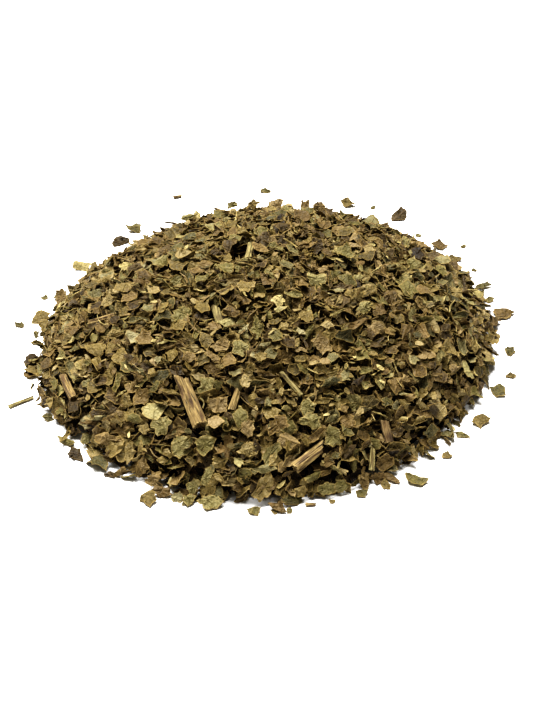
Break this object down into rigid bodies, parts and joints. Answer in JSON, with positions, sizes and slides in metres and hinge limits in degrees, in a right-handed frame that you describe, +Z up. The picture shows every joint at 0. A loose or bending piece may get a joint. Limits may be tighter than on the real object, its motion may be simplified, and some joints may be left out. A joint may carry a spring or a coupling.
{
  "type": "heap of dried basil",
  "caption": "Low heap of dried, cut basil leaf flakes with chips of stem in it and a few loose flakes round its foot.",
  "frame": {"origin": "middle of the heap's flat foot, on the surface that it lies on", "axes": "+Z up, +X to the viewer's right, +Y away from the viewer"},
  "size_m": [0.111, 0.1256, 0.027],
  "materials": {
    "dried_leaf": "matte",
    "dried_stem": "matte"
  },
  "bodies": {
    "root": {"leaf_flake_heap": "dried_leaf", "stem_chip_01": "dried_stem", "stem_chip_02": "dried_stem", "stem_chip_03": "dried_stem", "stem_chip_04": "dried_stem", "stem_chip_05": "dried_stem", "stem_chip_06": "dried_stem", "stem_chip_07": "dried_stem", "stem_chip_08": "dried_stem", "stem_chip_09": "dried_stem", "stem_chip_10": "dried_stem", "stem_chip_11": "dried_stem", "stem_chip_12": "dried_stem", "stem_chip_13": "dried_stem", "loose_flake_01": "dried_leaf", "loose_flake_02": "dried_leaf", "loose_flake_03": "dried_leaf", "loose_flake_04": "dried_leaf", "loose_flake_05": "dried_leaf", "loose_flake_06": "dried_leaf", "loose_flake_07": "dried_leaf", "loose_flake_08": "dried_leaf", "loose_flake_09": "dried_leaf", "loose_flake_10": "dried_leaf", "loose_flake_11": "dried_leaf", "loose_flake_12": "dried_leaf", "loose_flake_13": "dried_leaf", "loose_flake_14": "dried_leaf", "loose_flake_15": "dried_leaf", "loose_flake_16": "dried_leaf", "loose_flake_17": "dried_leaf", "loose_flake_18": "dried_leaf", "loose_flake_19": "dried_leaf", "loose_flake_20": "dried_leaf", "loose_flake_21": "dried_leaf", "loose_flake_22": "dried_leaf", "loose_flake_23": "dried_leaf", "loose_flake_24": "dried_leaf", "loose_flake_25": "dried_leaf", "loose_flake_26": "dried_leaf", "loose_flake_27": "dried_leaf", "loose_flake_28": "dried_leaf", "loose_flake_29": "dried_leaf", "loose_flake_30": "dried_leaf", "loose_flake_31": "dried_leaf", "loose_flake_32": "dried_leaf", "loose_flake_33": "dried_leaf", "loose_flake_34": "dried_leaf", "loose_flake_35": "dried_leaf", "loose_flake_36": "dried_leaf", "loose_flake_37": "dried_leaf", "loose_splinter_01": "dried_stem", "loose_splinter_02": "dried_stem", "loose_splinter_03": "dried_stem"}
  },
  "joints": []
}
